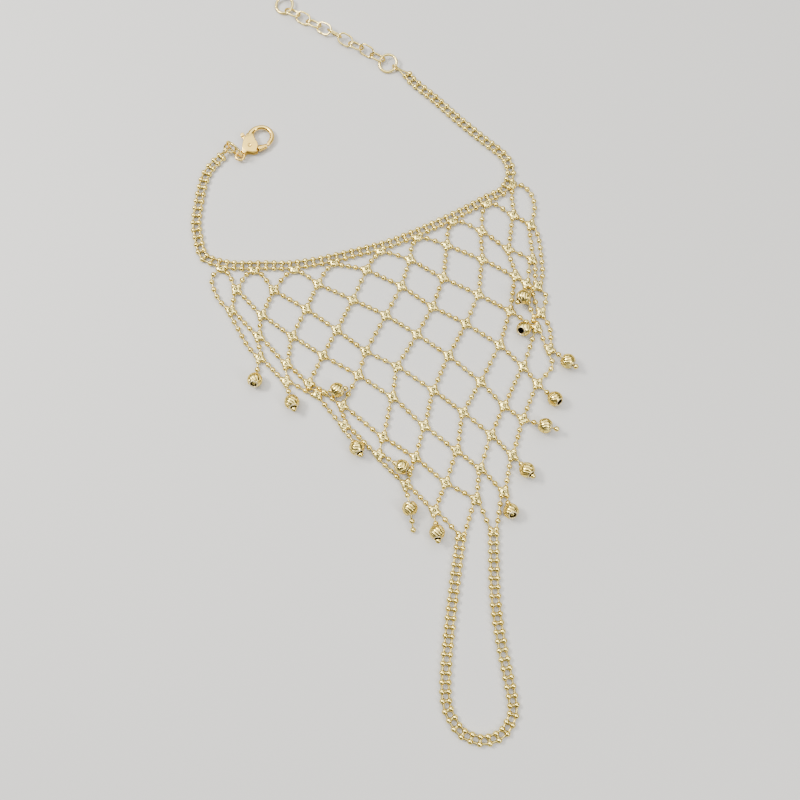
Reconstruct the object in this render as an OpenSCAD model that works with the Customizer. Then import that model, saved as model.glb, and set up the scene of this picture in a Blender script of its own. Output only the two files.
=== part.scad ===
// Hand chain laid flat and unfastened: a two-row ball chain round the wrist, a diamond net
// of single ball chain over the back of the hand, a two-row loop for one finger, fourteen
// cut beads on the strand ends, a lobster clasp and an extender chain.
// The surface is z = 0, the wrist is at +Y and the finger at -Y.

/* [Ball chain] */
// Diameter of the balls in the two-row chains
ball_d = 1.2; // [1:0.05:1.3]
// Diameter of the pins that join the balls
pin_d = 0.4; // [0.2:0.05:0.6]
// Thickness of the soldered rung between the two balls of a pair
rung_d = 0.75; // [0.5:0.05:0.8]
// Distance between the two rows of balls
row_gap = 1.4; // [1.3:0.05:1.6]
// Pairs of balls in the wrist band
band_pairs = 79; // [70:1:84]
// Pairs of balls in the finger loop
loop_pairs = 50; // [44:1:54]

/* [Net] */
// Width of a net strand
strand_d = 0.9; // [0.6:0.05:1.1]
// Height of a net strand
strand_h = 0.7; // [0.5:0.05:0.8]
// Width of the solder where two strands cross
solder_d = 2.0; // [1.6:0.1:2.4]
// Height of the solder where two strands cross
solder_h = 1.0; // [0.8:0.05:1.15]
// How far an arch hangs under the middle of the wrist band
arch_drop = 1.6; // [1.58:0.02:1.8]
// How far the net ends from the first balls of the finger loop
junction_gap = 1.08; // [1.06:0.02:1.4]

/* [Cut beads] */
// Diameter of a cut bead
bead_d = 3.3; // [3:0.1:3.6]
// Diameter of the hole through a bead
bead_hole_d = 1.5; // [1.4:0.05:1.8]
// Depth of the curved cuts
cut_depth = 0.09; // [0.04:0.01:0.12]
// Number of curved cuts
cut_count = 5; // [3:2:7]
// Angle from one cut to the next
cut_step = 28; // [20:1:30]

/* [Clasp] */
// Thickness of the clasp body
clasp_t = 2.0; // [1.8:0.1:2.4]
// Wire thickness of the clasp hook and gate
hook_d = 1.0; // [0.9:0.05:1.3]
// Diameter of the lever pin
lever_pin_d = 0.8; // [0.6:0.05:1]
// Clearance of the lever bore round its pin
pin_clear = 0.05; // [0.02:0.01:0.1]

/* [Rings and links] */
// Wire of the two large rings
ring_wire_d = 0.6; // [0.5:0.05:0.7]
// Diameter of the large rings at the middle of the wire
ring_d = 4.2; // [4:0.1:4.6]
// Wire of the extender links
link_wire_d = 0.45; // [0.4:0.05:0.5]
// Outer length of a link
link_l = 4.15; // [4.1:0.05:4.3]
// Outer width of a link
link_w = 2.9; // [2.7:0.05:3]

/* [Hidden] */
$fn = 48;
shift = [0.2, 0.43, 0]; // brings the middle of the whole piece to x = y = 0
ball_z = ball_d / 2;
pin_start = 0.35;
cut_r = 0.25; // radius of the tool that makes the cuts in the beads
block = 8;
loop_wire_d = 0.4;
loop_r = 0.7;

// Middle line of the wrist band from the clasp end to the extender end: x, y
band_path = [
    [-37.5, 43], [-41, 38], [-42.5, 27.5], [-42, 23], [-40.5, 18], [-38, 16.5],
    [-33.5, 15.5], [-25.5, 15.5], [-20.5, 15.5], [-14, 16.5], [-6, 18.5], [2.5, 21],
    [10.5, 24.5], [18.5, 28.5], [25.5, 32.5], [28.5, 34], [30.5, 37.5], [30.5, 40.5],
    [29, 43.5], [24.5, 47.5], [18.5, 53], [13, 58.5], [8, 63], [6.5, 65]];

// Middle line of the finger loop from the left junction round to the right one: x, y
finger_path = [
    [17.5, -46.5], [16, -56.5], [15, -64], [14, -73.5], [14, -79], [14.5, -81],
    [16.5, -84.5], [19, -86], [22, -86.5], [25.5, -85], [27.5, -81.5], [27.5, -79],
    [26.5, -73], [25.5, -67.5], [24.5, -58.5], [24.5, -45.5]];

// The two lines drawn smoothly, and the distance from one pair of balls to the next
band_line = smooth(band_path);
finger_line = smooth(finger_path);
band_step = total(band_line) / (band_pairs - 1);
finger_step = total(finger_line) / (loop_pairs - 1);

// Hole of the wrist band under which each of the nine arches is soldered
arch_holes = [17, 21, 26, 31, 37, 42, 47, 52, 56];

// Crossings of the net, one row of the net to a line: number of the first
// right-going strand, then x, y of each crossing from left to right
net_rows = [
    [1, [for (h = arch_holes) arch_top(h)]],
    [1, [[-32.5, 9.6], [-24, 9.5], [-14, 11], [-3, 14.5], [7, 17], [15.5, 20.5], [23.5, 24],
        [31, 28]]],
    [0, [[-33.5, 4.5], [-26.5, 3.5], [-16.5, 5], [-6, 7.2], [5, 10.5], [14.5, 12.5], [23.5, 17],
        [29.5, 19.5], [35, 25.5]]],
    [0, [[-27, -1.5], [-19.5, -1.5], [-9.5, 0], [1.5, 3.5], [12, 5.5], [22.5, 8.5], [31, 13],
        [35, 17]]],
    [-1, [[-26.5, -6.5], [-20.5, -8], [-12.5, -6], [-3, -5], [8.5, -1], [19.5, 1.5], [29.5, 4.5],
        [33.5, 11], [36, 10.5]]],
    [-1, [[-20.5, -12], [-15.5, -12.5], [-4.5, -10.5], [4, -8.5], [15.5, -6], [27, -3.5],
        [35.5, 0.5], [36.5, 4]]],
    [-1, [[-13.5, -15], [-8, -17.5], [3, -15.5], [12, -14], [22.5, -12], [32, -8.5], [38, -4.5]]],
    [-1, [[-7.5, -22], [1, -24.5], [10, -22], [18.5, -19], [27.5, -17.5], [35, -12.5]]],
    [-1, [[0, -28.5], [8, -29], [17, -27.5], [24.5, -24], [31.5, -20.5]]],
    [-1, [[6, -35], [14.5, -34.5], [22, -31.5], [29, -28.5]]],
    [-1, [[12, -40.5], [21, -38], [27, -36.5]]],
    [-1, [junction(0), junction(1)]]];

// Strands along the two sides of the net: row and strand they leave, row and strand
// they reach, then x, y of the bends between
side_strands = [
    [0, 1, 2, 0, [[-38, 13], [-38, 11], [-36.5, 7.5]]],
    [2, 0, 4, -1, [[-31.5, 0], [-29.5, -3.5]]],
    [0, 9, 2, 8, [[33.5, 35.5], [35.5, 33], [36, 29.5]]],
    [2, 8, 4, 7, [[36.7, 22], [37.2, 16], [37.2, 13]]]];

// Bends in strands between two neighbouring crossings: row, strand, step
// (0 goes on to the right, -1 to the left), x, y of the bend
bends = [
    [4, 7, -1, [37.8, 8]],
    [4, 6, -1, [34, 5.5]],
    [5, 6, -1, [38.3, 0.5]],
    [6, 5, -1, [38.5, -8.5]]];

// Strand ends with their cut beads: row and strand of the last crossing, x, y and z of
// the bead's middle, tilt of its hole, height of the strand where it climbs over
// others (0 for none), length past the bead
strand_ends = [
    [4, -1, -27.2, -11.9, 1.7, 30, 0, -0.9],
    [5, -1, -18.9, -16.9, 1.7, 15, 0, 0.2],
    [6, -1, -9.1, -14.2, 1.7, 0, 1.9, 0.2],
    [7, -1, -4.6, -27.1, 1.7, 15, 0, 0.2],
    [8, -1, 5.1, -31.3, 2.0, 0, 0, 0.2],
    [9, -1, 6.8, -40.1, 1.7, -12, 0, 3.0],
    [10, -1, 12.5, -45.2, 1.7, 15, 0, 0.2],
    [4, 7, 32.4, 7.2, 2.35, 0, 1.9, 0.2],
    [5, 6, 32.3, -0.1, 1.7, 38, 0, -0.9],
    [6, 5, 41.8, -7.6, 1.7, 8, 0, 0.5],
    [7, 4, 38.6, -16.2, 1.7, 25, 0, -0.6],
    [8, 3, 36.2, -22.2, 1.7, 12, 0, 0.9],
    [9, 2, 31.9, -31.9, 1.7, 15, 0, 0.2],
    [10, 1, 28.2, -40.7, 1.7, 40, 0, -0.9]];

// Clasp: place of its eye, direction of the hook, then sizes along and across it
clasp_at = [-33, 43];
clasp_turn = 45.5;
clasp_z = clasp_t / 2;
eye_r = 1.0;
eye_wire_d = 0.6;
lever_at = [3.3, 0];
cheek_r = 1.9;
gate_r = 4.0;
gate_turn = -24.5;
gate_at = [0.97, -1.7]; // middle of the gate's thick end, from the lever pin
gate_d = [1.55, 1.0]; // thickness of the gate at its thick end and at its tip
gate_l = 2.4;
plate_turn = -55;
thumb_turn = 77;
thumb_l = 3.6;
lever_t = 0.6;
slot_t = 0.76;
clasp_outline = [
    [0.9, 0.45], [1.35, 0.5], [1.65, 0.85], [2.3, 1.5], [3.15, 2.05], [4, 2.45], [4.85, 3],
    [5.7, 2.65], [6.15, 1.85], [5.6, 0.95], [5.35, 0.35], [5.5, -1.2], [4.6, -2.3],
    [3.85, -2.35], [3.25, -2.1], [2.6, -1.65], [2.1, -0.95], [1.75, -0.55], [0.9, -0.5]];

// Small rings between the clasp and the wrist band
small_wire_d = 0.5;
clasp_ring_r = 2.2;
clasp_ring_turn = 140;
clasp_ring_at = [clasp_at.x + 1.48 * cos(clasp_ring_turn),
    clasp_at.y + 1.48 * sin(clasp_ring_turn), clasp_ring_r + small_wire_d / 2];
band_ring_r = 1.3;
band_ring_at = [clasp_ring_at.x + 1.75 * cos(clasp_ring_turn),
    clasp_ring_at.y + 1.75 * sin(clasp_ring_turn), 0.98];
left_loop_at = [-36.35, 44.22, 1.42];

// Extender: middle of the links, their roll and height, then its two large rings
extender_path = [[-0.8, 69.7], [-11.3, 76], [-21.8, 82.3]];
link_table = [ // roll, height of the middle
    [28, 0.9], [-52, 1.25], [28, 0.95], [-28, 1.15], [68, 1.45], [-28, 1.15], [28, 0.9],
    [-28, 0.9], [28, 0.9]];
link_step = total(extender_path) / (len(link_table) - 1);
extender_ring_at = [1.77, 67.99, 0.93];
end_ring_at = [-23.95, 84.54, 0.79];
right_loop_at = [extender_ring_at.x + ring_d / 2 * cos(-32),
    extender_ring_at.y + ring_d / 2 * sin(-32), 0.9];

// Points on a smooth curve through the points of a path
function spline(p, k, t) =
    let (a = p[max(k - 1, 0)], b = p[k], c = p[k + 1], d = p[min(k + 2, len(p) - 1)])
    0.5 * (2 * b + (c - a) * t + (2 * a - 5 * b + 4 * c - d) * t * t
        + (3 * b - a - 3 * c + d) * t * t * t);
function smooth(p) = [for (k = [0 : len(p) - 2]) for (i = [0 : 9]) spline(p, k, i / 10), p[len(p) - 1]];
function travel(q) = [for (k = 0, s = 0; k < len(q);
    s = s + (k < len(q) - 1 ? norm(q[k + 1] - q[k]) : 0), k = k + 1) s];
function along(q, s) = let (t = travel(q))
    [lookup(s, [for (k = [0 : len(q) - 1]) [t[k], q[k].x]]),
     lookup(s, [for (k = [0 : len(q) - 1]) [t[k], q[k].y]])];
function heading(q, s) = let (v = along(q, s + 0.2) - along(q, s - 0.2)) v / norm(v);
function side(v) = [v.y, -v.x];
function total(q) = let (t = travel(q)) t[len(t) - 1];

function arch_top(hole) =
    let (s = (hole + 0.5) * band_step)
    along(band_line, s) + arch_drop * side(heading(band_line, s));
function junction(end) =
    let (s = end * total(finger_line), v = heading(finger_line, s + (end == 0 ? 0.3 : -0.3)))
    along(finger_line, s) + (end == 0 ? -junction_gap : junction_gap) * v;

// Lookups in the tables of the net
function has(r, i) = r >= 0 && r < len(net_rows)
    && i >= net_rows[r][0] && i < net_rows[r][0] + len(net_rows[r][1]);
function crossing(r, i) = let (c = net_rows[r][1][i - net_rows[r][0]]) [c.x, c.y, ball_z];
function bend_of(r, i, step) = [for (b = bends) if (b[0] == r && b[1] == i && b[2] == step)
    [b[3].x, b[3].y, ball_z]];
function shoulder_of(r, k, step) = r > 0 ? [] :
    let (at = (arch_holes[k] + 0.5) * band_step + (step == 0 ? 1.9 : -1.9))
    [along(band_line, at) + (arch_drop + 0.7) * side(heading(band_line, at))];
function bead_at(e) = [e[2], e[3], e[4]];
function bead_turn(e) = let (v = bead_at(e) - crossing(e[0], e[1])) atan2(v.y, v.x);
function bead_axis(e) = let (a = bead_turn(e)) [cos(a) * cos(e[5]), sin(a) * cos(e[5]), sin(e[5])];
function end_line(e) =
    let (from = crossing(e[0], e[1]), mouth = bead_at(e) - bead_d / 2 * bead_axis(e),
        middle = (from + mouth) / 2)
    [from, if (e[6] > 0) [middle.x, middle.y, e[6]], mouth,
        bead_at(e) + (bead_d / 2 + e[7]) * bead_axis(e)];

// A round bar from point a to point b, shorter by inset at both ends
module rod(a, b, d, inset = 0) {
    v = (b - a) / norm(b - a);
    translate(a + inset * v) rotate([0, acos(v.z), atan2(v.y, v.x)])
        cylinder(d = d, h = norm(b - a) - 2 * inset);
}

// Outline of the chain through a list of points
module outline(points, width) {
    for (k = [0 : len(points) - 2]) hull() for (m = [k, k + 1])
        translate([points[m].x, points[m].y]) circle(d = width, $fn = 8);
}

// Eight-sided strand through a list of points in space
module strand(points) {
    for (k = [0 : len(points) - 2]) hull() for (m = [k, k + 1])
        translate(points[m]) cylinder(d = strand_d, h = strand_h - 0.04, center = true, $fn = 8);
}

// One pair of balls and the rung between them
module pair(balls, turn) {
    for (ball = balls) translate(ball) rotate(turn - 45) sphere(d = ball_d);
    rod(balls[0], balls[1], rung_d, pin_start);
}

// Two rows of balls along a line, joined by pins and rungs, in blocks of pairs
module ladder(line, pairs, step) {
    turns = [for (k = [0 : pairs - 1])
        let (h = heading(line, min(max(k * step, 0.3), total(line) - 0.3))) atan2(h.y, h.x)];
    balls = [for (k = [0 : pairs - 1]) let (m = along(line, k * step), h = turns[k])
        [for (w = [-1, 1]) [m.x + w * row_gap / 2 * sin(h), m.y - w * row_gap / 2 * cos(h), ball_z]]];
    for (first = [0 : block : pairs - 1]) union() {
        last = min(first + block, pairs) - 1;
        for (k = [first : last]) pair(balls[k], turns[k]);
        for (k = [first : 1 : last - 1]) for (w = [0, 1])
            rod(balls[k][w], balls[k + 1][w], pin_d, pin_start);
    }
    for (k = [block - 1 : block : pairs - 2]) for (w = [0, 1])
        rod(balls[k][w], balls[k + 1][w], pin_d, pin_start);
}

module ring(r, wire) {
    rotate_extrude() translate([r, 0]) circle(d = wire);
}

// Upright eye at an end of the wrist band, held by two arms from its last two balls
module end_loop(at, turn, s) {
    m = along(band_line, s);
    h = heading(band_line, min(max(s, 0.3), total(band_line) - 0.3));
    base = at - loop_r * [cos(turn), sin(turn), 0];
    translate(at) rotate([90, 0, turn]) {
        ring(loop_r, loop_wire_d);
        translate([-loop_r, 0, 0]) sphere(d = loop_wire_d + 0.25);
    }
    for (w = [-1, 1]) let (q = m + w * row_gap / 2 * side(h))
        rod([q.x, q.y, ball_z], base, pin_d + 0.04 + w * 0.02, 0.15);
}

module wrist_band() {
    color("khaki") translate(shift) {
        ladder(band_line, band_pairs, band_step);
        end_loop(left_loop_at, 45, 0);
        end_loop(right_loop_at, 148, total(band_line));
    }
}

module finger_loop() {
    color("khaki") translate(shift) ladder(finger_line, loop_pairs, finger_step);
}

// Plan of all the strands of the net
module strand_plan() {
    for (r = [0 : len(net_rows) - 2]) for (k = [0 : len(net_rows[r][1]) - 1]) {
        i = net_rows[r][0] + k;
        for (step = [0, -1]) if (has(r + 1, i + step))
            outline(concat([crossing(r, i)], shoulder_of(r, k, step), bend_of(r, i, step),
                [crossing(r + 1, i + step)]), strand_d);
    }
    for (s = side_strands)
        outline(concat([crossing(s[0], s[1])], s[4], [crossing(s[2], s[3])]), strand_d);
}

// Plan of the solder at the crossings, and of the balls that meet the other chains
module solder_plan() {
    for (r = [0 : len(net_rows) - 1]) for (here = net_rows[r][1])
        translate(here) circle(d = r == 0 || r == len(net_rows) - 1 ? ball_d : solder_d, $fn = 8);
}

module net() {
    color("palegoldenrod") translate(shift) {
        translate([0, 0, ball_z]) {
            linear_extrude(strand_h, center = true) strand_plan();
            linear_extrude(solder_h, center = true) solder_plan();
        }
        for (e = strand_ends) strand(end_line(e));
    }
}

// One bead, drilled through, with curved cuts side by side round a slanting axis
module cut_bead(n) {
    e = strand_ends[n - 1];
    color("gold") translate(shift + bead_at(e)) rotate([0, -e[5], bead_turn(e)]) difference() {
        sphere(d = bead_d);
        rotate([0, 90, 0]) cylinder(d = bead_hole_d, h = bead_d + 1, center = true);
        rotate([70 + 20 * (n % 6), 35, 0]) rotate_extrude() for (k = [0 : cut_count - 1])
            rotate(cut_step * (k - (cut_count - 1) / 2))
                translate([bead_d / 2 + cut_r - cut_depth, 0]) circle(r = cut_r);
    }
}

module clasp_place() {
    translate(shift + [clasp_at.x, clasp_at.y, clasp_z]) rotate(clasp_turn) children();
}

// Wedge of a circle round the lever pin, from angle a to angle b
module wedge(a, b, r, t) {
    translate([lever_at.x, lever_at.y, 0]) linear_extrude(t, center = true)
        polygon([[0, 0], [r * cos(a), r * sin(a)],
            [r * cos((a + b) / 2), r * sin((a + b) / 2)], [r * cos(b), r * sin(b)]]);
}

module clasp_body() {
    color("khaki") clasp_place() {
        difference() {
            intersection() {
                linear_extrude(clasp_t, center = true) polygon(clasp_outline);
                translate([3.6, 0.4, clasp_t / 2 - 12]) sphere(r = 12);
                translate([3.6, 0.4, 12 - clasp_t / 2]) sphere(r = 12);
            }
            difference() {
                wedge(-80, 8, 6, clasp_t + 1);
                translate([lever_at.x, lever_at.y, 0])
                    cylinder(r = cheek_r, h = clasp_t + 2, center = true);
            }
            translate([lever_at.x, lever_at.y, 0]) cylinder(r = 1.05, h = slot_t, center = true);
            wedge(60, 120, 5, slot_t);
            wedge(-88, 8, 3, slot_t);
        }
        translate([lever_at.x, lever_at.y, 0])
            cylinder(d = lever_pin_d, h = clasp_t - 0.5, center = true);
        difference() {
            translate([7, 0.1, 0]) rotate(-106) rotate_extrude(angle = 240)
                translate([2.5, 0]) circle(d = hook_d);
            intersection() {
                translate([lever_at.x, lever_at.y, 0]) cylinder(r = gate_r + 0.1, h = 3, center = true);
                translate([3, -5, -2]) cube([6, 5, 4]);
            }
        }
        ring(eye_r, eye_wire_d);
    }
}

module clasp_lever() {
    color("khaki") clasp_place() translate([lever_at.x, lever_at.y, 0]) {
        difference() {
            linear_extrude(lever_t, center = true) union() {
                circle(r = 0.9);
                rotate(plate_turn) translate([0, -0.45]) square([2.4, 0.9]);
                rotate(thumb_turn) translate([0, -0.35]) square([thumb_l - 0.05, 0.7]);
            }
            cylinder(d = lever_pin_d + 2 * pin_clear, h = 2, center = true);
        }
        intersection() {
            translate([gate_at.x, gate_at.y, 0]) rotate([0, 90, gate_turn])
                cylinder(d1 = gate_d[0], d2 = gate_d[1], h = gate_l);
            difference() {
                cylinder(r = gate_r, h = 2, center = true);
                cylinder(r = cheek_r + 0.1, h = 3, center = true);
            }
        }
        rotate(thumb_turn) translate([thumb_l, 0, 0]) cylinder(d = 0.95, h = 1.2, center = true);
    }
}

module clasp_ring() {
    color("gold") translate(shift + clasp_ring_at) rotate([90, 0, clasp_ring_turn])
        ring(clasp_ring_r, small_wire_d);
}

module band_ring() {
    color("gold") translate(shift + band_ring_at) rotate([20, 0, clasp_ring_turn])
        ring(band_ring_r, small_wire_d);
}

module extender_ring() {
    color("gold") translate(shift + extender_ring_at) rotate([-16, 0, 148]) ring(ring_d / 2, ring_wire_d);
}

module end_ring() {
    color("gold") translate(shift + end_ring_at) rotate([-12, 0, 133.8]) ring(ring_d / 2, ring_wire_d);
}

// Oval link: two half rings and two straight sides
module link(n) {
    end_r = (link_w - link_wire_d) / 2;
    half = (link_l - link_wire_d) / 2 - end_r;
    last = len(link_table) - 1;
    here = concat(along(extender_path, (n - 1) * link_step), link_table[n - 1][1]);
    back = concat(along(extender_path, max(n - 2, 0) * link_step), link_table[max(n - 2, 0)][1]);
    next = concat(along(extender_path, min(n, last) * link_step), link_table[min(n, last)][1]);
    v = next - back;
    rise = n == 1 || n == last + 1 ? 0 : atan2(v.z, norm([v.x, v.y]));
    color("gold") translate(shift + here) rotate([0, -rise, atan2(v.y, v.x)])
        rotate([link_table[n - 1][0], 0, 0])
        for (a = [0, 180]) rotate(a) {
            translate([half, 0, 0]) rotate(-90) rotate_extrude(angle = 180)
                translate([end_r, 0]) circle(d = link_wire_d);
            translate([-half, end_r, 0]) rotate([0, 90, 0]) cylinder(d = link_wire_d, h = 2 * half);
        }
}

wrist_band();
net();
finger_loop();
cut_bead(1);  // cut_bead_01
cut_bead(2);  // cut_bead_02
cut_bead(3);  // cut_bead_03
cut_bead(4);  // cut_bead_04
cut_bead(5);  // cut_bead_05
cut_bead(6);  // cut_bead_06
cut_bead(7);  // cut_bead_07
cut_bead(8);  // cut_bead_08
cut_bead(9);  // cut_bead_09
cut_bead(10);  // cut_bead_10
cut_bead(11);  // cut_bead_11
cut_bead(12);  // cut_bead_12
cut_bead(13);  // cut_bead_13
cut_bead(14);  // cut_bead_14
clasp_body();
clasp_lever();
clasp_ring();
band_ring();
extender_ring();
link(1);  // link_01
link(2);  // link_02
link(3);  // link_03
link(4);  // link_04
link(5);  // link_05
link(6);  // link_06
link(7);  // link_07
link(8);  // link_08
link(9);  // link_09
end_ring();
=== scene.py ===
import math
import random

import bpy
from mathutils import Euler, Matrix, Vector, noise


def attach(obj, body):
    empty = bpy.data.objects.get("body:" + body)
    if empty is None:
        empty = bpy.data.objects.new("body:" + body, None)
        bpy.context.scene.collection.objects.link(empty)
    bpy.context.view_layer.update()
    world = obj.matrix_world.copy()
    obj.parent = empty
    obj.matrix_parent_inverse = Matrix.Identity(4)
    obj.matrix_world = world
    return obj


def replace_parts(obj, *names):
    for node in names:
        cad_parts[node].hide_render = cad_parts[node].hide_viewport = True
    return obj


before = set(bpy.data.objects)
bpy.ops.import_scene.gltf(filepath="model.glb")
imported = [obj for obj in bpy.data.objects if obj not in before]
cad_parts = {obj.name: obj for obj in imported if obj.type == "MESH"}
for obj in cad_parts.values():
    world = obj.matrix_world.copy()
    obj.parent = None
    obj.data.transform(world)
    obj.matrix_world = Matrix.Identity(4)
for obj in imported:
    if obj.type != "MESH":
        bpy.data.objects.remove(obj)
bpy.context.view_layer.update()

mm = 0.001
shift = Vector((0.2, 0.43, 0.0))  # brings the middle of the piece over x = y = 0
chainBody = "hand_chain"
leverBody = "lever"
fullTurn = 2 * math.pi
dice = random.Random(11)
print("frame loaded:", len(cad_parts), "nodes")


# small helpers, all sizes in millimetres

def newStore():
    return {"points": [], "faces": [], "slots": [], "dull": []}


def addPart(store, points, faces, slot, dull):  # dull: 0 bright plating, 1 darkest; mostly painted shade in corners, hollows and undersides, partly tarnish and dark joints
    start = len(store["points"])
    store["points"].extend(points)
    store["faces"].extend([tuple(start + i for i in face) for face in faces])
    store["slots"].extend([slot] * len(faces))
    store["dull"].extend(dull)


def makePiece(store, name, materials, body=chainBody):
    mesh = bpy.data.meshes.new(name)
    mesh.from_pydata([(Vector(p) + shift) * mm for p in store["points"]], [], store["faces"])
    for material in materials:
        mesh.materials.append(material)
    mesh.polygons.foreach_set("material_index", store["slots"])
    mesh.polygons.foreach_set("use_smooth", [True] * len(mesh.polygons))
    mesh.attributes.new("shadeAndTarnish", "FLOAT", "POINT").data.foreach_set("value", store["dull"])
    mesh.update()
    piece = bpy.data.objects.new(name, mesh)
    bpy.context.scene.collection.objects.link(piece)
    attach(piece, body)
    return piece


def flat(p, z):
    return Vector((p[0], p[1], z))


def frameOf(direction, up=None):  # matrix that takes z to a direction and keeps y upright
    z = Vector(direction).normalized()
    if up is None:
        up = Vector((0, 0, 1)) if abs(z.z) < 0.95 else Vector((1, 0, 0))
    x = up.cross(z).normalized()
    y = z.cross(x)
    return Matrix((x, y, z)).transposed()


def grid(rows):  # faces between rows of the same length, each row a closed ring
    n = len(rows[0])
    faces = []
    for a in range(len(rows) - 1):
        for b in range(n):
            c = (b + 1) % n
            faces.append((rows[a][b], rows[a][c], rows[a + 1][c], rows[a + 1][b]))
    return faces


def roundBall(sides=12, rings=8):  # unit ball, poles along z
    points = [Vector((0, 0, -1))]
    rows = []
    for r in range(1, rings):
        a = math.pi * r / rings
        rows.append(list(range(len(points), len(points) + sides)))
        for s in range(sides):
            t = fullTurn * s / sides
            points.append(Vector((math.sin(a) * math.cos(t), math.sin(a) * math.sin(t),
                                  -math.cos(a))))
    points.append(Vector((0, 0, 1)))
    faces = grid(rows)
    top = len(points) - 1
    for s in range(sides):
        c = (s + 1) % sides
        faces.append((0, rows[0][c], rows[0][s]))
        faces.append((top, rows[-1][s], rows[-1][c]))
    return points, faces


netBall = roundBall()
neckCurve = 2.4  # how suddenly a neck of metal widens at its ends
# painted shade: darker where the pins enter a ball, on its underside, and at the ends of a neck
paintedShade = {"pinFrom": 0.8, "pinGain": 4.5, "underFrom": 0.35, "underGain": 1.1, "neckEnd": 0.55}


def addBall(store, at, radius, way=(1, 0, 0), stretch=1.0, slot=0, shape=netBall):
    turn = Vector(way).to_track_quat("Z", "Y").to_matrix()
    unit, faces = shape
    points, dull = [], []
    for p in unit:
        spot = turn @ Vector((p.x, p.y, p.z * stretch)) * radius
        points.append(Vector(at) + spot)
        # painted shade: a ball darker near its poles, where the pins enter it, and on its underside
        nearPin = max((abs(p.z) - paintedShade["pinFrom"]) * paintedShade["pinGain"], 0)
        under = max(-spot.z / radius - paintedShade["underFrom"], 0) * paintedShade["underGain"]
        dull.append(min(nearPin + under, 1))
    addPart(store, points, faces, slot, dull)


# a neck of metal between two balls, thinnest in the middle
def addNeck(store, a, b, middle, ends, sides, rows, slot, dull):
    turn = frameOf(b - a)
    points, rings, shadeAndWear = [], [], []
    for k in range(rows + 1):
        t = 2 * k / rows - 1
        radius = middle + (ends - middle) * abs(t) ** neckCurve
        rings.append(list(range(len(points), len(points) + sides)))
        for s in range(sides):
            angle = fullTurn * s / sides
            spoke = turn @ Vector((math.cos(angle), math.sin(angle), 0))
            points.append(a.lerp(b, k / rows) + spoke * radius)
            # painted shade: a neck darker towards its ends, where it meets the balls
            shadeAndWear.append(min(dull + paintedShade["neckEnd"] * abs(t), 1))
    faces = grid(rings) + [tuple(reversed(rings[0])), tuple(rings[-1])]
    addPart(store, points, faces, slot, shadeAndWear)


# round wire along a path, its section kept upright; dull is one value, or one for each point
def addTube(store, path, radius, sides, closed=False, widths=None, dull=0.0, up=None):
    n = len(path)
    pathShadeAndWear = dull if isinstance(dull, list) else [dull] * n
    points, rows, shadeAndWear = [], [], []
    for k, p in enumerate(path):
        before = path[(k - 1) % n] if closed or k > 0 else p
        after = path[(k + 1) % n] if closed or k < n - 1 else p
        turn = frameOf(after - before, up)
        r = radius * (1 if widths is None else widths[k])
        rows.append(list(range(len(points), len(points) + sides)))
        shadeAndWear += [pathShadeAndWear[k]] * sides
        for s in range(sides):
            t = fullTurn * s / sides
            points.append(p + turn @ Vector((math.cos(t) * r, math.sin(t) * r, 0)))
    faces = grid(rows + [rows[0]] if closed else rows)
    if not closed:
        faces.append(tuple(reversed(rows[0])))
        faces.append(tuple(rows[-1]))
    addPart(store, points, faces, 0, shadeAndWear)


def spline(p, k, t):
    a, b, c, d = p[max(k - 1, 0)], p[k], p[k + 1], p[min(k + 2, len(p) - 1)]
    return 0.5 * (2 * b + (c - a) * t + (2 * a - 5 * b + 4 * c - d) * t * t
                  + (3 * b - a - 3 * c + d) * t ** 3)


def smooth(points, steps=10):
    p = [Vector(q) for q in points]
    path = [spline(p, k, i / steps) for k in range(len(p) - 1) for i in range(steps)]
    return path + [p[-1]]


def travel(path):  # distance along a path at each of its points
    far = [0.0]
    for a, b in zip(path, path[1:]):
        far.append(far[-1] + (b - a).length)
    return far


def along(path, far, s):
    s = min(max(s, 0.0), far[-1])
    for k in range(1, len(path)):
        if s <= far[k]:
            f = (s - far[k - 1]) / max(far[k] - far[k - 1], 1e-9)
            return path[k - 1].lerp(path[k], f)
    return path[-1].copy()


lookAhead = 0.2  # how far to each side a path's direction is read


def heading(path, far, s):
    return (along(path, far, s + lookAhead) - along(path, far, s - lookAhead)).normalized()


# materials

plating = {"rimTint": (0.88, 0.68, 0.26, 1), "deepAt": 0.3, "lightAt": 0.68, "leastShadeAndTarnish": 0.55,
           "spotScale": 6, "glossScale": 1.7, "shadeAndTarnishDulls": 0.25, "bumpStrength": 0.5}


def nodeMaterial(name):
    material = bpy.data.materials.new(name)
    material.use_nodes = True
    tree = material.node_tree
    shader = tree.nodes["Principled BSDF"]
    return material, tree, shader


def ramp(tree, source, lowStop, highStop):
    node = tree.nodes.new("ShaderNodeValToRGB")
    for stop, (place, colour) in zip(node.color_ramp.elements, (lowStop, highStop)):
        stop.position, stop.color = place, colour
    tree.links.new(source, node.inputs["Fac"])
    return node.outputs["Color"]


def noiseOf(tree, scale, detail=3.0):
    where = tree.nodes.new("ShaderNodeTexCoord")
    node = tree.nodes.new("ShaderNodeTexNoise")
    node.inputs["Scale"].default_value = scale
    node.inputs["Detail"].default_value = detail
    tree.links.new(where.outputs["Object"], node.inputs["Vector"])
    return node.outputs["Fac"]


def mathOf(tree, kind, a, b):
    node = tree.nodes.new("ShaderNodeMath")
    node.operation = kind
    node.use_clamp = True
    for socket, value in zip(node.inputs, (a, b)):
        if isinstance(value, (int, float)):
            socket.default_value = value
        else:
            tree.links.new(value, socket)
    return node.outputs["Value"]
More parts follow.
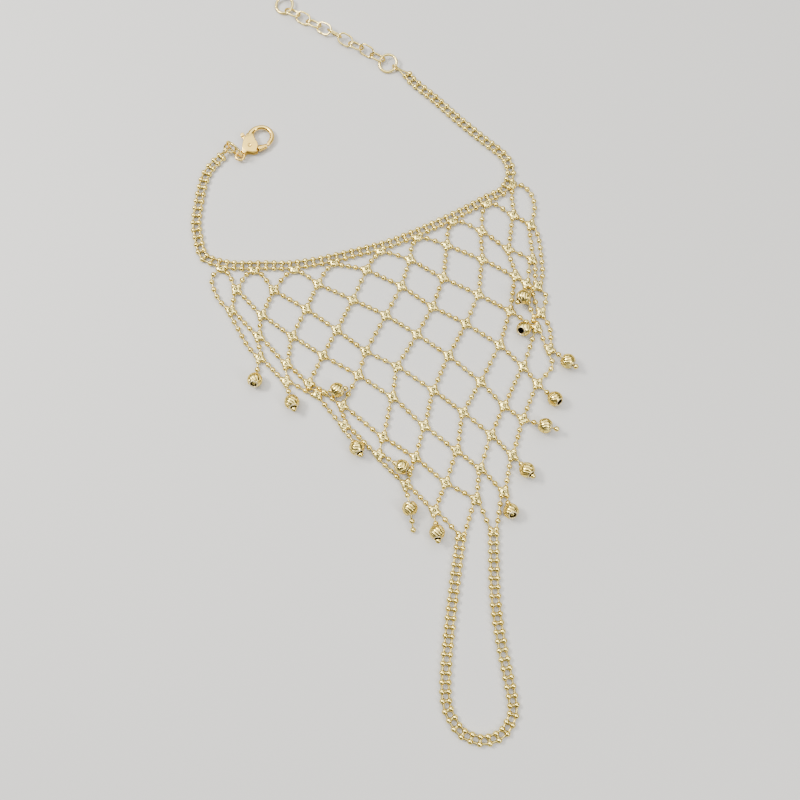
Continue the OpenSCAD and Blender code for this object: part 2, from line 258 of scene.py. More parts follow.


# polished plating: soft patches of colour and gloss, a darker colour where the mesh's attribute asks
# for it (mostly painted shade in corners and under parts, some tarnish), faint waviness
def platedGold(name, light, deep, shadeAndTarnish, rough, roughSpread, patchScale, bumpScale, bumpDepth):
    material, tree, shader = nodeMaterial(name)
    shader.inputs["Metallic"].default_value = 1.0
    shader.inputs["Specular Tint"].default_value = plating["rimTint"]  # keeps the rims warm
    patches = noiseOf(tree, patchScale)
    colour = ramp(tree, patches, (plating["deepAt"], (*deep, 1)), (plating["lightAt"], (*light, 1)))
    shadeAndWear = tree.nodes.new("ShaderNodeAttribute")
    shadeAndWear.attribute_name = "shadeAndTarnish"
    speckle = noiseOf(tree, patchScale * plating["spotScale"], 2.0)
    spots = mathOf(tree, "ADD", plating["leastShadeAndTarnish"], speckle)
    amount = mathOf(tree, "MULTIPLY", shadeAndWear.outputs["Fac"], spots)
    mix = tree.nodes.new("ShaderNodeMix")
    mix.data_type = "RGBA"
    tree.links.new(amount, mix.inputs["Factor"])
    tree.links.new(colour, mix.inputs[6])
    mix.inputs[7].default_value = (*shadeAndTarnish, 1)
    tree.links.new(mix.outputs[2], shader.inputs["Base Color"])
    gloss = tree.nodes.new("ShaderNodeMapRange")
    gloss.inputs["To Min"].default_value = rough - roughSpread
    gloss.inputs["To Max"].default_value = rough + roughSpread
    tree.links.new(noiseOf(tree, patchScale * plating["glossScale"]), gloss.inputs["Value"])
    dulled = mathOf(tree, "MULTIPLY", amount, plating["shadeAndTarnishDulls"])
    tree.links.new(mathOf(tree, "ADD", gloss.outputs["Result"], dulled), shader.inputs["Roughness"])
    bump = tree.nodes.new("ShaderNodeBump")
    bump.inputs["Strength"].default_value = plating["bumpStrength"]
    bump.inputs["Distance"].default_value = bumpDepth
    tree.links.new(noiseOf(tree, bumpScale, 2.0), bump.inputs["Height"])
    tree.links.new(bump.outputs["Normal"], shader.inputs["Normal"])
    return material


# dark colours mixed in for painted shade and for tarnish
oliveShadeAndTarnish = (0.23, 0.18, 0.055)
brownShadeAndTarnish = (0.25, 0.16, 0.05)
ballGold = platedGold("ballGold", light=(0.98, 0.82, 0.28), deep=(0.87, 0.66, 0.17),
                      shadeAndTarnish=oliveShadeAndTarnish, rough=0.20, roughSpread=0.05, patchScale=260,
                      bumpScale=2400, bumpDepth=0.00002)
solderGold = platedGold("solderGold", light=(0.98, 0.84, 0.32), deep=(0.88, 0.70, 0.22),
                        shadeAndTarnish=oliveShadeAndTarnish, rough=0.30, roughSpread=0.07, patchScale=900,
                        bumpScale=1900, bumpDepth=0.00004)
cutGold = platedGold("cutGold", light=(0.98, 0.82, 0.28), deep=(0.88, 0.67, 0.18),
                     shadeAndTarnish=brownShadeAndTarnish, rough=0.19, roughSpread=0.05, patchScale=500,
                     bumpScale=2600, bumpDepth=0.00001)
claspGold = platedGold("claspGold", light=(0.95, 0.69, 0.19), deep=(0.84, 0.55, 0.13),
                       shadeAndTarnish=brownShadeAndTarnish, rough=0.22, roughSpread=0.05, patchScale=160,
                       bumpScale=1300, bumpDepth=0.00002)
wireGold = platedGold("wireGold", light=(0.98, 0.81, 0.30), deep=(0.87, 0.66, 0.19),
                      shadeAndTarnish=brownShadeAndTarnish, rough=0.18, roughSpread=0.05, patchScale=240,
                      bumpScale=1900, bumpDepth=0.00001)
# a paler gold for the rolled rims, as a painted highlight
rimHighlightGold = platedGold("rimHighlightGold", light=(1.0, 0.90, 0.58), deep=(0.95, 0.82, 0.46),
                     shadeAndTarnish=brownShadeAndTarnish, rough=0.36, roughSpread=0.06, patchScale=500,
                     bumpScale=1900, bumpDepth=0.00001)
boreShade = platedGold("boreShade", light=(0.10, 0.07, 0.03), deep=(0.05, 0.03, 0.01),
                       shadeAndTarnish=(0.03, 0.02, 0.01), rough=0.6, roughSpread=0.05, patchScale=500,
                       bumpScale=1300, bumpDepth=0.00001)
print("materials made")


# wrist band and finger loop: two rows of balls, soldered rungs between them, pins along them

# rungDull, pinDull: painted shade, the rungs and pins darker than the balls between which they sit
ladder = {"rowGap": 1.4, "ball": 1.2, "bandPairs": 79, "fingerPairs": 50, "archDrop": 1.6,
          "junctionGap": 1.08, "rung": 0.36, "rungFlare": 0.54, "rungDull": 0.45, "pin": 0.23,
          "pinFlare": 0.42, "pinDull": 0.4, "endStep": 0.3}
eye = {"wire": 0.2, "reach": 0.7, "steps": 36, "sides": 12, "footExtra": 0.14, "armFlare": 0.34,
       "claspEnd": (-36.35, 44.22, 1.42), "claspTurn": 45, "extenderTurn": 148}
extenderRing = {"at": (1.77, 67.99, 0.93), "radius": 2.1, "eyeTurn": -32, "eyeHeight": 0.9}
bandPath = [  # middle line from the clasp end to the extender end: x, y
    (-37.5, 43), (-41, 38), (-42.5, 27.5), (-42, 23), (-40.5, 18), (-38, 16.5),
    (-33.5, 15.5), (-25.5, 15.5), (-20.5, 15.5), (-14, 16.5), (-6, 18.5), (2.5, 21),
    (10.5, 24.5), (18.5, 28.5), (25.5, 32.5), (28.5, 34), (30.5, 37.5), (30.5, 40.5),
    (29, 43.5), (24.5, 47.5), (18.5, 53), (13, 58.5), (8, 63), (6.5, 65)]
fingerPath = [  # middle line from the left junction round to the right one: x, y
    (17.5, -46.5), (16, -56.5), (15, -64), (14, -73.5), (14, -79), (14.5, -81),
    (16.5, -84.5), (19, -86), (22, -86.5), (25.5, -85), (27.5, -81.5), (27.5, -79),
    (26.5, -73), (25.5, -67.5), (24.5, -58.5), (24.5, -45.5)]
ladderBall = roundBall(16, 11)
ballZ = ladder["ball"] / 2
bandLine = smooth([flat(p, ballZ) for p in bandPath])
bandFar = travel(bandLine)
bandStep = bandFar[-1] / (ladder["bandPairs"] - 1)
fingerLine = smooth([flat(p, ballZ) for p in fingerPath])
fingerFar = travel(fingerLine)


def stepFrom(place, reach, turn, z):
    angle = math.radians(turn)
    return Vector((place[0] + reach * math.cos(angle), place[1] + reach * math.sin(angle), z))


def besideBand(s, away):
    v = heading(bandLine, bandFar, s)
    return along(bandLine, bandFar, s) + away * Vector((v.y, -v.x, 0))


def junction(end):
    inward = ladder["endStep"]
    v = heading(fingerLine, fingerFar, fingerFar[-1] - inward if end else inward)
    away = ladder["junctionGap"]
    return fingerLine[-1] + away * v if end else fingerLine[0] - away * v


def addLadder(store, line, far, pairs):
    reach, inward = far[-1], ladder["endStep"]
    rows = []
    for k in range(pairs):
        s = reach * k / (pairs - 1)
        v = heading(line, far, min(max(s, inward), reach - inward))
        side = Vector((v.y, -v.x, 0)) * ladder["rowGap"] / 2
        rows.append([along(line, far, s) - side, along(line, far, s) + side])
        for ball in rows[-1]:
            addBall(store, ball, ladder["ball"] / 2 * dice.uniform(0.985, 1.0), v, shape=ladderBall)
        addNeck(store, rows[-1][0], rows[-1][1], ladder["rung"] * dice.uniform(0.92, 1.08),
                ladder["rungFlare"], sides=14, rows=8, slot=1, dull=ladder["rungDull"])
    for before, after in zip(rows, rows[1:]):
        for a, b in zip(before, after):
            addNeck(store, a, b, ladder["pin"] * dice.uniform(0.9, 1.1), ladder["pinFlare"],
                    sides=10, rows=8, slot=0, dull=ladder["pinDull"])
    return rows


# upright eye at an end of the band, on two arms from its last balls
def addEye(store, at, turn, balls):
    out = Vector((math.cos(math.radians(turn)), math.sin(math.radians(turn)), 0))
    reach, wire = eye["reach"], eye["wire"]
    ring = []
    for k in range(eye["steps"]):
        t = fullTurn * k / eye["steps"]
        ring.append(at + reach * (out * math.cos(t) + Vector((0, 0, math.sin(t)))))
    addTube(store, ring, wire, eye["sides"], closed=True, up=out.cross(Vector((0, 0, 1))))
    foot = at - out * reach
    addBall(store, foot, wire + eye["footExtra"], (0, 0, 1), slot=1)
    # painted shade: each arm darker than the eye, most of all at its ends
    for ball in balls:
        addNeck(store, ball, foot, wire, eye["armFlare"], sides=10, rows=6, slot=1, dull=0.3)


bandStore = newStore()
bandRows = addLadder(bandStore, bandLine, bandFar, ladder["bandPairs"])
addEye(bandStore, Vector(eye["claspEnd"]), eye["claspTurn"], bandRows[0])
extenderEye = stepFrom(extenderRing["at"], extenderRing["radius"], extenderRing["eyeTurn"],
                       extenderRing["eyeHeight"])
addEye(bandStore, extenderEye, eye["extenderTurn"], bandRows[-1])
band = makePiece(bandStore, "bandChain", [ballGold, solderGold])
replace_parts(band, "wrist_band")
fingerStore = newStore()
fingerRows = addLadder(fingerStore, fingerLine, fingerFar, ladder["fingerPairs"])
finger = makePiece(fingerStore, "fingerChain", [ballGold, solderGold])
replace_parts(finger, "finger_loop")
print("band and finger loop made:", len(bandStore["faces"]) + len(fingerStore["faces"]), "faces")


# net: single ball chain, its balls pushed side by side round each soldered crossing

# pinDull: painted shade, the pin wire darker than the balls it joins
net = {"pitch": 1.76, "ballRadius": 0.6, "pin": 0.19, "pinSides": 8, "pinStep": 0.6, "pinDull": 0.45,
       "clusterReach": 0.9, "clusterLeast": 0.84, "clusterMost": 1.0, "clusterRounds": 60,
       "spanSteps": 8, "pairReach": 0.63, "apart": 0.05, "shoulder": 1.9, "shoulderDrop": 0.7,
       "archLead": 0.6}
solder = {"angles": 28, "rings": (0.3, 0.55, 0.76, 0.91, 1.0), "armWidth": 0.5, "flatTop": 3.2,
          "grain": 1.7, "roughTop": 0.07, "roughEdge": 0.08, "dullFrom": 0.55, "dullGain": 0.9,
          "roughDull": 0.5}
crossingPad = {"inner": 1.0, "outer": 1.2, "height": 0.62}
archPad = {"inner": 0.85, "outer": 1.3, "height": 0.56, "away": 1.15,
           "arms": ((-0.9, 0.5), (0.9, 0.5), (-1.1, 1.9), (1.1, 1.9))}  # along the band, away from it
fingerPad = {"inner": 0.62, "outer": 0.9, "height": 0.52}
archHoles = [17, 21, 26, 31, 37, 42, 47, 52, 56]  # holes of the band that the arches hang under
netRows = [  # number of the row's first right-going strand, x and y of its crossings
    (1, [besideBand((h + 0.5) * bandStep, ladder["archDrop"]) for h in archHoles]),
    (1, [(-32.5, 9.6), (-24, 9.5), (-14, 11), (-3, 14.5), (7, 17), (15.5, 20.5), (23.5, 24),
         (31, 28)]),
    (0, [(-33.5, 4.5), (-26.5, 3.5), (-16.5, 5), (-6, 7.2), (5, 10.5), (14.5, 12.5), (23.5, 17),
         (29.5, 19.5), (35, 25.5)]),
    (0, [(-27, -1.5), (-19.5, -1.5), (-9.5, 0), (1.5, 3.5), (12, 5.5), (22.5, 8.5), (31, 13),
         (35, 17)]),
    (-1, [(-26.5, -6.5), (-20.5, -8), (-12.5, -6), (-3, -5), (8.5, -1), (19.5, 1.5), (29.5, 4.5),
          (33.5, 11), (36, 10.5)]),
    (-1, [(-20.5, -12), (-15.5, -12.5), (-4.5, -10.5), (4, -8.5), (15.5, -6), (27, -3.5),
          (35.5, 0.5), (36.5, 4)]),
    (-1, [(-13.5, -15), (-8, -17.5), (3, -15.5), (12, -14), (22.5, -12), (32, -8.5), (38, -4.5)]),
    (-1, [(-7.5, -22), (1, -24.5), (10, -22), (18.5, -19), (27.5, -17.5), (35, -12.5)]),
    (-1, [(0, -28.5), (8, -29), (17, -27.5), (24.5, -24), (31.5, -20.5)]),
    (-1, [(6, -35), (14.5, -34.5), (22, -31.5), (29, -28.5)]),
    (-1, [(12, -40.5), (21, -38), (27, -36.5)]),
    (-1, [junction(0), junction(1)])]
lastRow = len(netRows) - 1
sideStrands = [  # row and strand it leaves, row and strand it reaches, bends
    ((0, 1), (2, 0), [(-38, 13), (-38, 11), (-36.5, 7.5)]),
    ((2, 0), (4, -1), [(-31.5, 0), (-29.5, -3.5)]),
    ((0, 9), (2, 8), [(33.5, 35.5), (35.5, 33), (36, 29.5)]),
    ((2, 8), (4, 7), [(36.7, 22), (37.2, 16), (37.2, 13)])]
bends = {  # row and strand at both ends of a run: x, y of its bend
    ((4, 7), (5, 6)): [(37.8, 8)], ((4, 6), (5, 5)): [(34, 5.5)],
    ((5, 6), (6, 5)): [(38.3, 0.5)], ((6, 5), (7, 4)): [(38.5, -8.5)]}
strandEnds = [  # row, strand, bead's x, y, z, tilt of its hole, height of a climb, length past it
    (4, -1, -27.2, -11.9, 1.7, 30, 0, -0.9), (5, -1, -18.9, -16.9, 1.7, 15, 0, 0.2),
    (6, -1, -9.1, -14.2, 1.7, 0, 1.9, 0.2), (7, -1, -4.6, -27.1, 1.7, 15, 0, 0.2),
    (8, -1, 5.1, -31.3, 2.0, 0, 0, 0.2), (9, -1, 6.8, -40.1, 1.7, -12, 0, 3.0),
    (10, -1, 12.5, -45.2, 1.7, 15, 0, 0.2), (4, 7, 32.4, 7.2, 2.35, 0, 1.9, 0.2),
    (5, 6, 32.3, -0.1, 1.7, 38, 0, -2.2), (6, 5, 41.8, -7.6, 1.7, 8, 0, 0.5),
    (7, 4, 38.6, -16.2, 1.7, 25, 0, -2.2), (8, 3, 36.2, -22.2, 1.7, 12, 0, 0.9),
    (9, 2, 31.9, -31.9, 1.7, 15, 0, 0.2), (10, 1, 28.2, -40.7, 1.7, 40, 0, -0.9)]
beadSize = {"radius": 1.65, "hole": 0.72, "rim": 0.16, "rimBulge": 0.9, "cutDepth": 0.12, "cuts": 5,
            "cutStep": 28.0, "cutHalf": 6.8, "lenses": 3, "lensEnds": 0.6, "lean": 35,
            "firstRoll": 70, "rollStep": 20, "sides": 100, "latitudes": 60, "boreRows": 6,
            "rimRows": 8, "mouthReach": 1.9, "uncutRows": 3, "rimDull": 0.35, "rimDullFrom": 5,
            "edgeDull": 0.8, "edgeRows": 2, "cutDull": 0.7}


def crossing(r, i):
    first, row = netRows[r]
    return flat(row[i - first], ballZ)


def hasCrossing(r, i):
    return 0 <= r < len(netRows) and 0 <= i - netRows[r][0] < len(netRows[r][1])


def beadAxis(end):  # a bead's hole points away from its strand's crossing
    flatWay = Vector(end[2:5]) - crossing(end[0], end[1])
    turn, tilt = math.atan2(flatWay.y, flatWay.x), math.radians(end[5])
    return Vector((math.cos(turn) * math.cos(tilt), math.sin(turn) * math.cos(tilt), math.sin(tilt)))


# every run of chain between two crossings: start, end, bends
runs = []
for r in range(lastRow):
    for k in range(len(netRows[r][1])):
        i = netRows[r][0] + k
        for step in (0, -1):
            if hasCrossing(r + 1, i + step):
                middle = [flat(b, ballZ) for b in bends.get(((r, i), (r + 1, i + step)), [])]
                if r == 0:
                    sideways = net["shoulder"] if step == 0 else -net["shoulder"]
                    s = (archHoles[k] + 0.5) * bandStep + sideways
                    middle = [besideBand(s, ladder["archDrop"] + net["shoulderDrop"])]
                runs.append(((r, i), (r + 1, i + step), middle))
for start, stop, points in sideStrands:
    runs.append((start, stop, [flat(b, ballZ) for b in points]))

# at each crossing, every chain that leaves it and the direction in which it goes
arms = {}
for index, (start, stop, middle) in enumerate(runs):
    a, b = crossing(*start), crossing(*stop)
    arms.setdefault(start, []).append((("run", index, 0), (middle[0] if middle else b) - a))
    arms.setdefault(stop, []).append((("run", index, 1), (middle[-1] if middle else a) - b))
for index, end in enumerate(strandEnds):
    here = (end[0], end[1])
    arms[here].append((("end", index, 0), flat(end[2:4], ballZ) - crossing(*here)))


# balls round a crossing, pushed apart until they sit side by side
def packCluster(centre, ways):
    touching = 2 * net["ballRadius"]
    places = [w.normalized() * net["clusterReach"] for w in ways]
    for _ in range(net["clusterRounds"]):
        for a in range(len(places)):
            for b in range(a + 1, len(places)):
                gap = places[a] - places[b]
                if gap.length < touching:
                    push = gap.normalized() * (touching - gap.length) * 0.5
                    places[a] += push
                    places[b] -= push
        places = [p.normalized() * min(max(p.length, net["clusterLeast"]), net["clusterMost"])
                  for p in places]
    return [centre + p for p in places]


clusterBall, clusterBalls = {}, {}
for here, ways in arms.items():
    centre = crossing(*here)
    if here[0] == 0:
        for tag, _ in ways:
            clusterBall[tag] = centre
        continue
    if here[0] == lastRow:  # side by side on the first pair of the finger loop
        pair = fingerRows[-1 if here[1] == netRows[-1][0] + 1 else 0]
        beside = (pair[1] - pair[0]).normalized() * net["pairReach"]
        if beside.x * (ways[1][1].x - ways[0][1].x) < 0:
            beside.negate()
        for (tag, _), away in zip(ways, (-beside, beside)):
            clusterBall[tag] = centre + away
        continue
    placed = packCluster(centre, [w for _, w in ways])
    clusterBalls[here] = placed
    for (tag, _), p in zip(ways, placed):
        clusterBall[tag] = p


# pin wire along a path, with balls at an even pitch
def chainRun(store, path, firstBall=True, lastBall=True):
    far = travel(path)
    count = max(round(far[-1] / net["pitch"]), 1)
    for k in range(count + 1):
        if (k == 0 and not firstBall) or (k == count and not lastBall):
            continue
        s = far[-1] * k / count
        radius = net["ballRadius"] * dice.uniform(0.975, 1.0)
        addBall(store, along(path, far, s), radius, heading(path, far, s), dice.uniform(0.97, 1.02))
    pins = max(int(far[-1] / net["pinStep"]), 2)
    wire = [along(path, far, far[-1] * k / pins) for k in range(pins + 1)]
    addTube(store, wire, net["pin"], net["pinSides"], dull=net["pinDull"])


# solder flooded between balls: a low flat-topped dome with an arm towards each ball
def addPad(store, centre, ways, pad):
    seed = dice.uniform(0, 50)
    angles, height = solder["angles"], pad["height"]
    points, rowsUp, rowsDown, dull = [], [], [], []
    aims = [math.atan2(w.y, w.x) for w in ways]
    for side, rows in ((1, rowsUp), (-1, rowsDown)):
        for f in solder["rings"]:
            rows.append(list(range(len(points), len(points) + angles)))
            for k in range(angles):
                t = fullTurn * k / angles
                pull = sum(math.exp(-(math.remainder(t - aim, fullTurn) / solder["armWidth"]) ** 2)
                           for aim in aims)
                radius = pad["inner"] + (pad["outer"] - pad["inner"]) * min(pull, 1.0)
                spot = Vector((math.cos(t), math.sin(t), 0)) * radius * f
                rough = noise.noise((spot + centre) * solder["grain"] + Vector((seed, 0, 0)))
                dome = height * math.sqrt(max(1 - f ** solder["flatTop"], 0.0))
                lift = min(dome * (1 + solder["roughTop"] * rough), centre.z)
                points.append(centre + spot * (1 + solder["roughEdge"] * rough)
                              + Vector((0, 0, side * lift)))
                # painted shade: the pad darker towards its edge, where it meets the balls; the noise
                # adds random tarnish
                edgeDull = solder["dullGain"] * (f - solder["dullFrom"])
                dull.append(min(max(edgeDull + solder["roughDull"] * rough, 0), 1))
    top, bottom = len(points), len(points) + 1
    points += [centre + Vector((0, 0, height)), centre - Vector((0, 0, height))]
    faces = grid(rowsUp) + [tuple(reversed(f)) for f in grid(rowsDown)]
    for k in range(angles):
        c = (k + 1) % angles
        faces.append((top, rowsUp[0][k], rowsUp[0][c]))
        faces.append((bottom, rowsDown[0][c], rowsDown[0][k]))
    addPart(store, points, faces, 1, dull + [0.0, 0.6])  # middle above bright, below darker as painted shade


netStore = newStore()
for index, (start, stop, middle) in enumerate(runs):
    a, b = clusterBall[("run", index, 0)], clusterBall[("run", index, 1)]
    ca, cb = crossing(*start), crossing(*stop)
    if start[0] == 0:  # an arch's own run starts level, at its top
        ca = ca - (middle[0] - ca) * net["archLead"]
    lead = (ca - a).length > net["apart"]  # whether the crossing lies apart from the run's first ball
    line = ([ca] if lead else []) + [a] + middle + [b]
    if (cb - b).length >= net["apart"]:
        line.append(cb)
    steps, spans = net["spanSteps"], range(int(lead), line.index(b))
    dense = [spline(line, k, i / steps) for k in spans for i in range(steps)] + [b]
    chainRun(netStore, dense, start[0] > 0, stop[0] < lastRow)
for here, ways in arms.items():  # balls that meet the wrist band and the finger loop
    if here[0] in (0, lastRow):
        for tag, _ in ways if here[0] else ways[:1]:
            addBall(netStore, clusterBall[tag], net["ballRadius"])
for here, placed in clusterBalls.items():
    centre = crossing(*here)
    addPad(netStore, centre, [p - centre for p in placed], crossingPad)
for hole in archHoles:  # solder from each arch up to the two balls of the band above it
    s = (hole + 0.5) * bandStep
    seat = flat(besideBand(s, archPad["away"]), ballZ)
    ways = [flat(besideBand(s + step, away), ballZ) - seat for step, away in archPad["arms"]]
    addPad(netStore, seat, ways, archPad)
for end in (0, 1):  # and from the net's last balls to the finger loop
    meet = fingerRows[-1 if end else 0]
    seat = (junction(end) * 2 + meet[0] + meet[1]) / 4
    others = [clusterBall[tag] for tag, _ in arms[(lastRow, netRows[-1][0] + end)]]
    addPad(netStore, seat, [p - seat for p in meet + others], fingerPad)
for index, end in enumerate(strandEnds):
    centre, axis, at = crossing(end[0], end[1]), beadAxis(end), Vector(end[2:5])
    start = clusterBall[("end", index, 0)]
    mouth = at - beadSize["radius"] * axis
    tail = at + (beadSize["radius"] + end[7]) * axis
    climb = [flat((centre + mouth) / 2, end[6])] if end[6] > 0 else []
    chainRun(netStore, smooth([start] + climb + [mouth, tail], net["spanSteps"]))
chainPiece = makePiece(netStore, "netChain", [ballGold, solderGold])
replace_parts(chainPiece, "net")
print("net made:", sum(len(f) - 2 for f in netStore["faces"]), "triangles")


# cut beads

# how far a cut goes in at a latitude and longitude round the cuts' own axis, from 0 to 1
def cutAt(latitude, longitude):
    step = latitude / beadSize["cutStep"]
    if abs(step) > beadSize["cuts"] / 2:
        return 0.0
    share = (longitude / fullTurn * beadSize["lenses"] + 0.5) % 1.0
    half = beadSize["cutHalf"] * max(math.sin(math.pi * share), 0.0) ** beadSize["lensEnds"]
    off = abs(step - round(step)) * beadSize["cutStep"]
    return 1 - (off / half) ** 2 if off < half else 0.0


# section of a bead from one mouth to the other and back through the hole, as rows of
# distance along the hole, distance from it, whether it can be cut, how dark its painted shade
def beadProfile():
    radius, hole, rim = beadSize["radius"], beadSize["hole"], beadSize["rim"]
    bulge = rim * beadSize["rimBulge"]
    mouthAngle = math.asin((hole + beadSize["mouthReach"] * rim) / radius)
    edge = radius * math.cos(mouthAngle)
    steps = beadSize["boreRows"]
    # the bore fully darkened, as painted shade inside the hole
    bore = [(edge * (2 * k / steps - 1), hole, False, 1.0) for k in range(steps + 1)]
    steps = beadSize["rimRows"]
    rolled = []  # from the ball's side in to the hole
    # the rim's rows nearest the hole darkened, as painted shade going into it
    for k in range(1, steps):
        t = math.pi * k / steps
        rolled.append((edge + bulge * math.sin(t), hole + rim * (1 + math.cos(t)), False,
                       beadSize["rimDull"] if k > beadSize["rimDullFrom"] else 0.0))
    steps, uncut = beadSize["latitudes"], beadSize["uncutRows"]
    edgeRows = beadSize["edgeRows"]
    ball = []
    # painted shade: the ball's rows next to each rim darkened
    for k in range(steps + 1):
        a = mouthAngle + (math.pi - 2 * mouthAngle) * k / steps
        ball.append((radius * math.cos(a), radius * math.sin(a), uncut < k < steps - uncut,
                     beadSize["edgeDull"] if k < edgeRows or k > steps - edgeRows else 0.0))
    mirrored = [(-far, out, cuttable, shadeAndWear) for far, out, cuttable, shadeAndWear in rolled]
    return bore + rolled[::-1] + ball + mirrored


# drilled ball with a rolled rim at each mouth and lens-shaped cuts side by side
def addBead(number, end):
    sides = beadSize["sides"]
    axis = beadAxis(end)
    roll = math.radians(beadSize["firstRoll"] + beadSize["rollStep"] * (number % 6))
    lean = math.radians(beadSize["lean"])
    cutTurn = Matrix.Rotation(roll, 3, "X") @ Matrix.Rotation(lean, 3, "Y")
    place = Euler((0, -math.radians(end[5]), math.atan2(axis.y, axis.x))).to_matrix()
    top = cutTurn.transposed() @ place.transposed() @ Vector((0, 0, 1))
    lensTurn = math.atan2(top.y, top.x)  # brings the middle of a cut to the bead's top
    points, rows, dull = [], [], []
    for far, out, cuttable, shadeAndWear in beadProfile():
        rows.append(list(range(len(points), len(points) + sides)))
        for s in range(sides):
            t = fullTurn * s / sides
            p = Vector((far, math.cos(t) * out, math.sin(t) * out))
            depth = 0.0
            if cuttable:
                q = (cutTurn.transposed() @ p).normalized()
                depth = cutAt(math.degrees(math.asin(q.z)), math.atan2(q.y, q.x) - lensTurn)
                p *= 1 - beadSize["cutDepth"] * depth / beadSize["radius"]
            points.append(Vector(end[2:5]) + place @ p)
            # painted shade: darker the deeper a cut goes
            dull.append(min(shadeAndWear + depth * beadSize["cutDull"], 1))
    store = newStore()
    addPart(store, points, [tuple(reversed(f)) for f in grid(rows + [rows[0]])], 0, dull)
    inBore, inRim = beadSize["boreRows"] * sides, beadSize["rimRows"] * sides
    store["slots"][:inBore] = [1] * inBore  # the bore, painted near-black as shade inside the hole
    for start in (inBore, len(store["slots"]) - inRim):  # the two rims
        # the two rims, in a paler gold as a painted highlight
        store["slots"][start:start + inRim] = [2] * inRim
    piece = makePiece(store, f"cutBead{number:02d}", [cutGold, boreShade, rimHighlightGold])
    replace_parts(piece, f"cut_bead_{number:02d}")


for number, end in enumerate(strandEnds, 1):
    addBead(number, end)
print("beads made:", len(strandEnds))


# clasp: its CAD shapes copied, their edges rounded as tumbling leaves them

clasp = {"at": (-33, 43, 1.0), "turn": 45.5, "pin": (3.3, 0), "grain": 0.06, "rounds": 9,
         "dimple": 0.42, "dimpleDepth": 0.16, "dimpleRim": 0.09, "faceHeight": 0.6,
         "slotHalf": 0.34, "slotFrom": 1.6, "slotTo": 6, "slotDull": 0.9, "rimDull": 0.7,
         "speckDull": 0.15, "speckScale": 1.3}
hook = {"at": (7, 0.1), "radius": 2.5, "turn": 142, "sweep": 82, "steps": 24, "outward": 0.30,
        "outwardCurve": 1.2, "thick": 0.86, "thinner": 0.38, "thinCurve": 0.7,
        "sides": 20}
claspPlace = (Matrix.Translation(Vector(clasp["at"]) + shift)
              @ Matrix.Rotation(math.radians(clasp["turn"]), 4, "Z"))


# the hook's wire swells where it leaves the body
def hookRoot():
    store = newStore()
    path, widths = [], []
    for k in range(hook["steps"] + 1):
        f = k / hook["steps"]
        turn = math.radians(hook["turn"] - hook["sweep"] * f)
        reach = hook["radius"] + hook["outward"] * (1 - f) ** hook["outwardCurve"]
        path.append(Vector((hook["at"][0] + reach * math.cos(turn),
                            hook["at"][1] + reach * math.sin(turn), 0)))
        widths.append(hook["thick"] - hook["thinner"] * f ** hook["thinCurve"])
    addTube(store, path, 1.0, hook["sides"], widths=widths)
    return store


def tumbled(nodeName, pieceName, body, extra=None):
    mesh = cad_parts[nodeName].data.copy()
    mesh.transform(Matrix.Scale(1 / mm, 4))
    if extra:
        base = [tuple(v.co) for v in mesh.vertices]
        faces = [tuple(f.vertices) for f in mesh.polygons]
        faces += [tuple(len(base) + i for i in f) for f in extra["faces"]]
        mesh = bpy.data.meshes.new(pieceName)
        mesh.from_pydata(base + [tuple(claspPlace @ p) for p in extra["points"]], [], faces)
    piece = bpy.data.objects.new(pieceName, mesh)
    bpy.context.scene.collection.objects.link(piece)
    grain = piece.modifiers.new("grain", "REMESH")
    grain.mode = "VOXEL"
    grain.voxel_size = clasp["grain"]
    rounding = piece.modifiers.new("rounding", "SMOOTH")
    rounding.factor, rounding.iterations = 0.5, clasp["rounds"]
    shaped = piece.evaluated_get(bpy.context.evaluated_depsgraph_get())
    made = bpy.data.meshes.new_from_object(shaped)
    piece.modifiers.clear()
    back, dull = claspPlace.inverted(), []
    for vertex in made.vertices:
        p = back @ vertex.co
        fromPin = (p.xy - Vector(clasp["pin"])).length
        onFace = abs(p.z) > clasp["faceHeight"]
        if fromPin < clasp["dimple"] and onFace and body == chainBody:
            p.z *= 1 - clasp["dimpleDepth"] * (1 - (fromPin / clasp["dimple"]) ** 2)
            vertex.co = claspPlace @ p
        onFace = abs(p.z) > clasp["faceHeight"]  # again, as the dimple has moved p
        rim = abs(fromPin - clasp["dimple"]) < clasp["dimpleRim"] and onFace
        inSlot = abs(p.z) < clasp["slotHalf"] and clasp["slotFrom"] < p.x < clasp["slotTo"]
        speck = clasp["speckDull"] * max(noise.noise(p * clasp["speckScale"]), 0)
        # painted shade darkens the slot between the halves; the ring round the pin's dimple is
        # darker, and specks of tarnish lie elsewhere
        dull.append(clasp["slotDull"] if inSlot and body == chainBody
                    else clasp["rimDull"] if rim else speck)
    made.transform(Matrix.Scale(mm, 4))
    made.attributes.new("shadeAndTarnish", "FLOAT", "POINT").data.foreach_set("value", dull)
    made.polygons.foreach_set("use_smooth", [True] * len(made.polygons))
    made.materials.clear()
    made.materials.append(claspGold)
    made.name = pieceName
    piece.data = made
    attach(piece, body)
    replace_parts(piece, nodeName)
    print(pieceName, "made:", len(made.polygons), "faces")


tumbled("clasp_body", "claspBodyCast", chainBody, hookRoot())
tumbled("clasp_lever", "claspLeverCast", leverBody)


# rings and links: bent wire with the seam where its ends meet

wireSeam = {"notch": 0.8, "swell": 1.045, "swellSteps": 3, "dull": 0.65, "plainDull": 0.05,
            "sides": 16}


def wireLoop(name, nodeName, path, wire, normal, seam):
    widths, pathShadeAndWear = [], []
    for k in range(len(path)):
        away = min((k - seam) % len(path), (seam - k) % len(path))
        beside = wireSeam["swell"] if away < wireSeam["swellSteps"] else 1.0
        widths.append(beside if away else wireSeam["notch"])
        pathShadeAndWear.append(wireSeam["plainDull"] if away else wireSeam["dull"])
    store = newStore()
    addTube(store, path, wire / 2, wireSeam["sides"], closed=True, widths=widths, dull=pathShadeAndWear,
            up=normal)
    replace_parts(makePiece(store, name, [wireGold]), nodeName)


ringSteps = 72
